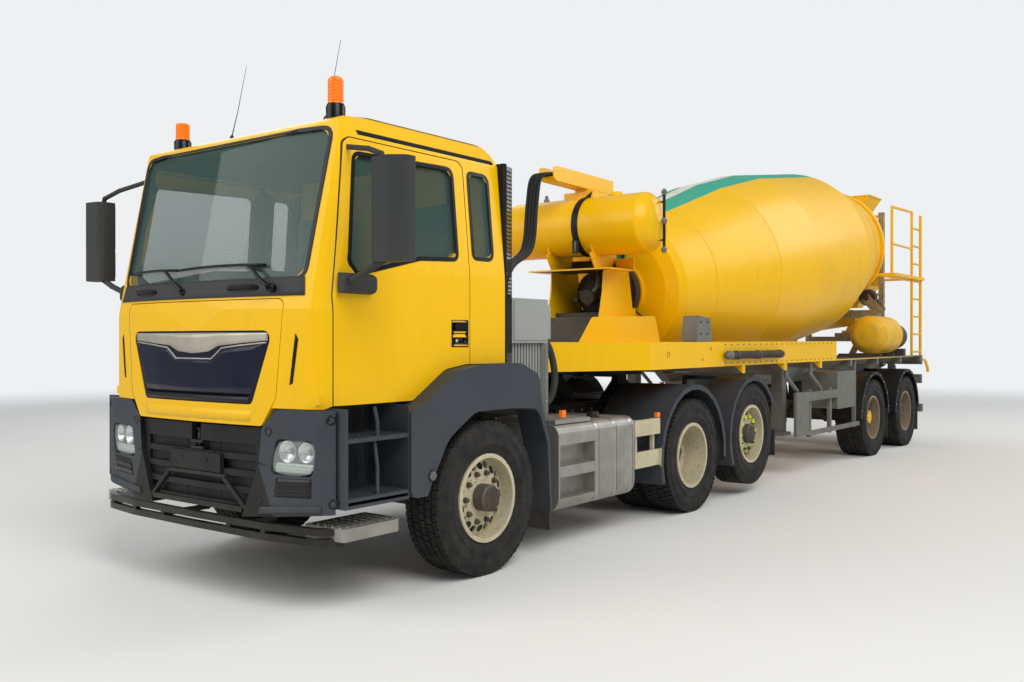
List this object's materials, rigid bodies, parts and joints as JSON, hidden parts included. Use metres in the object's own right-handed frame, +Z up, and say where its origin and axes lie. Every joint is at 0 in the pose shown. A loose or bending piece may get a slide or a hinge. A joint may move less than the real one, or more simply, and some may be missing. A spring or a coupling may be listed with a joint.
{
  "type": "articulated concrete mixer truck",
  "caption": "Articulated concrete mixer truck: tractor unit coupled to a mixer semi-trailer with a tilted drum, hopper, water tank and chute.",
  "frame": {"origin": "on the ground, midway between the front of the bumper and the ladder foot, on the centre line", "axes": "+X forwards, +Y to the vehicle's left, +Z up"},
  "size_m": [13.045, 3.3, 3.9538],
  "materials": {
    "yellow_paint": "satin, dusty",
    "black_steel": "satin",
    "cast_grey": "rough",
    "dark_plastic": "matt",
    "interior_plastic": "matt",
    "window_glass": "clear, slightly green",
    "lamp_plastic": "gloss",
    "bare_aluminium": "dull, dirty",
    "grey_paint": "satin, dirty",
    "navy_gloss": "gloss",
    "tyre_rubber": "matt, dusty",
    "cream_paint": "satin, rusty nuts",
    "hose_rubber": "matt"
  },
  "bodies": {
    "tractor": {"tractor_frame": "black_steel", "engine": "cast_grey", "axles": "black_steel", "fifth_wheel": "black_steel", "cab_shell": "yellow_paint", "cab_glass": "window_glass", "cab_interior": "interior_plastic", "bumper": "dark_plastic", "lamps": "lamp_plastic", "underrun_bar": "black_steel", "cab_fenders": "dark_plastic", "air_intake": "dark_plastic", "side_tanks": "bare_aluminium", "hydraulic_cabinet": "grey_paint", "rear_mudguards": "dark_plastic"},
    "trailer": {"trailer_frame": "yellow_paint", "trailer_axles": "black_steel", "trailer_mudguards": "dark_plastic", "trailer_guards": "grey_paint", "drum_pedestal": "yellow_paint", "drum_cradle": "grey_paint", "water_tank": "yellow_paint", "hopper": "yellow_paint", "ladder": "yellow_paint", "rear_tank": "yellow_paint"},
    "front_flap": {"front_flap": "yellow_paint", "grille": "navy_gloss"},
    "door_l": {"door_l": "yellow_paint", "door_glass_l": "window_glass", "mirror_l": "dark_plastic"},
    "door_r": {"door_r": "yellow_paint", "door_glass_r": "window_glass", "mirror_r": "dark_plastic"},
    "knuckle_l": {"knuckle_l": "black_steel"},
    "knuckle_r": {"knuckle_r": "black_steel"},
    "hose_arm": {"hose_arm": "yellow_paint", "supply_hoses": "hose_rubber"},
    "drum": {"drum": "yellow_paint"},
    "chute_swivel": {"chute_swivel": "yellow_paint"},
    "chute": {"chute": "yellow_paint"},
    "front_wheel_l": {"front_tyre_l": "tyre_rubber", "front_rim_l": "cream_paint"},
    "drive_wheels_l": {"drive_tyres_l": "tyre_rubber", "drive_rims_l": "cream_paint"},
    "tag_wheel_l": {"tag_tyre_l": "tyre_rubber", "tag_rim_l": "cream_paint"},
    "trailer_wheel_1l": {"trailer_tyre_1l": "tyre_rubber", "trailer_rim_1l": "cream_paint"},
    "trailer_wheel_2l": {"trailer_tyre_2l": "tyre_rubber", "trailer_rim_2l": "cream_paint"},
    "front_wheel_r": {"front_tyre_r": "tyre_rubber", "front_rim_r": "cream_paint"},
    "drive_wheels_r": {"drive_tyres_r": "tyre_rubber", "drive_rims_r": "cream_paint"},
    "tag_wheel_r": {"tag_tyre_r": "tyre_rubber", "tag_rim_r": "cream_paint"},
    "trailer_wheel_1r": {"trailer_tyre_1r": "tyre_rubber", "trailer_rim_1r": "cream_paint"},
    "trailer_wheel_2r": {"trailer_tyre_2r": "tyre_rubber", "trailer_rim_2r": "cream_paint"}
  },
  "joints": [
    {"name": "articulation", "type": "hinge", "parent": "tractor", "child": "trailer", "pos_m": [1.9475, 0, 1.31], "axis": [0, 0, 1], "range_deg": [-75, 75]},
    {"name": "hose_arm_turn", "type": "hinge", "parent": "trailer", "child": "hose_arm", "pos_m": [1.9475, 0, 3.07], "axis": [0, 0, 1], "range_deg": [-75, 75]},
    {"name": "steer_l", "type": "hinge", "parent": "tractor", "child": "knuckle_l", "pos_m": [5.0475, 0.93, 0.522], "axis": [0, 0, 1], "range_deg": [-40, 40]},
    {"name": "steer_r", "type": "hinge", "parent": "tractor", "child": "knuckle_r", "pos_m": [5.0475, -0.93, 0.522], "axis": [0, 0, 1], "range_deg": [-40, 40]},
    {"name": "front_wheel_spin_l", "type": "hinge", "parent": "knuckle_l", "child": "front_wheel_l", "pos_m": [5.0475, 1.079, 0.522], "axis": [0, 1, 0], "continuous": true},
    {"name": "drive_wheel_spin_l", "type": "hinge", "parent": "tractor", "child": "drive_wheels_l", "pos_m": [2.0175, 0.9065, 0.522], "axis": [0, 1, 0], "continuous": true},
    {"name": "tag_wheel_spin_l", "type": "hinge", "parent": "tractor", "child": "tag_wheel_l", "pos_m": [0.6775, 1.079, 0.617], "axis": [0, 1, 0], "continuous": true},
    {"name": "trailer_wheel_spin_1l", "type": "hinge", "parent": "trailer", "child": "trailer_wheel_1l", "pos_m": [-3.4225, 1.0425, 0.522], "axis": [0, 1, 0], "continuous": true},
    {"name": "trailer_wheel_spin_2l", "type": "hinge", "parent": "trailer", "child": "trailer_wheel_2l", "pos_m": [-4.9825, 1.0425, 0.522], "axis": [0, 1, 0], "continuous": true},
    {"name": "door_swing_l", "type": "hinge", "parent": "tractor", "child": "door_l", "pos_m": [6.3355, 1.12, 2], "axis": [0, 0, -1], "range_deg": [0, 70]},
    {"name": "front_wheel_spin_r", "type": "hinge", "parent": "knuckle_r", "child": "front_wheel_r", "pos_m": [5.0475, -1.079, 0.522], "axis": [0, 1, 0], "continuous": true},
    {"name": "drive_wheel_spin_r", "type": "hinge", "parent": "tractor", "child": "drive_wheels_r", "pos_m": [2.0175, -0.9065, 0.522], "axis": [0, 1, 0], "continuous": true},
    {"name": "tag_wheel_spin_r", "type": "hinge", "parent": "tractor", "child": "tag_wheel_r", "pos_m": [0.6775, -1.079, 0.617], "axis": [0, 1, 0], "continuous": true},
    {"name": "trailer_wheel_spin_1r", "type": "hinge", "parent": "trailer", "child": "trailer_wheel_1r", "pos_m": [-3.4225, -1.0425, 0.522], "axis": [0, 1, 0], "continuous": true},
    {"name": "trailer_wheel_spin_2r", "type": "hinge", "parent": "trailer", "child": "trailer_wheel_2r", "pos_m": [-4.9825, -1.0425, 0.522], "axis": [0, 1, 0], "continuous": true},
    {"name": "door_swing_r", "type": "hinge", "parent": "tractor", "child": "door_r", "pos_m": [6.3355, -1.12, 2], "axis": [0, 0, 1], "range_deg": [0, 70]},
    {"name": "flap_lift", "type": "hinge", "parent": "tractor", "child": "front_flap", "pos_m": [6.5095, 0, 1.845], "axis": [0, -1, 0], "range_deg": [0, 60]},
    {"name": "drum_spin", "type": "hinge", "parent": "trailer", "child": "drum", "pos_m": [1.2975, 0, 2.121], "axis": [-0.9898, 0, 0.1426], "continuous": true},
    {"name": "chute_swing", "type": "hinge", "parent": "trailer", "child": "chute_swivel", "pos_m": [-6.1825, 0, 1.72], "axis": [0, 0, -1], "range_deg": [0, 120]},
    {"name": "chute_tilt", "type": "hinge", "parent": "chute_swivel", "child": "chute", "pos_m": [-6.1825, 0, 1.79], "axis": [1, 0, 0], "range_deg": [-8, 17]}
  ],
  "couplings": [
    {"joint": "steer_r", "follows": "steer_l", "ratio": 1},
    {"joint": "hose_arm_turn", "follows": "articulation", "ratio": -1}
  ]
}
